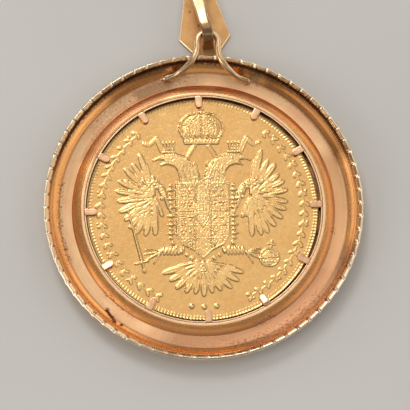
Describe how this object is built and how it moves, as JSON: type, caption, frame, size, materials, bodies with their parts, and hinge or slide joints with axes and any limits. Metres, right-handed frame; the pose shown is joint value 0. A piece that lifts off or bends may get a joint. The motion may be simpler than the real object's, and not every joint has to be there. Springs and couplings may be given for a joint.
{
  "type": "coin pendant",
  "caption": "Coin pendant of gold: a stepped ring with a notched rim and claws holds a coin in relief; a wire loop on its back carries a kite-shaped bail that swings.",
  "frame": {"origin": "centre of the ring, on the surface that the pendant lies on, front down", "axes": "+Z out of the ring's open back, away from the surface; +Y from the ring's centre to the wire loop and the bail; +X to the right as seen from the back"},
  "size_m": [0.0544, 0.0735, 0.006],
  "materials": {
    "rose_gold": "worn polish",
    "light_gold": "worn polish",
    "coin_gold": "struck satin",
    "bail_gold": "satin"
  },
  "bodies": {
    "pendant": {"frame": "rose_gold", "claw_ring": "light_gold", "coin": "coin_gold"},
    "bail": {"bail": "bail_gold"}
  },
  "joints": [
    {"name": "bail_swing", "type": "hinge", "parent": "pendant", "child": "bail", "pos_m": [0, 0.03101, 0.004], "axis": [0.9895, 0.1444, 0], "range_deg": [-8, 155]}
  ]
}
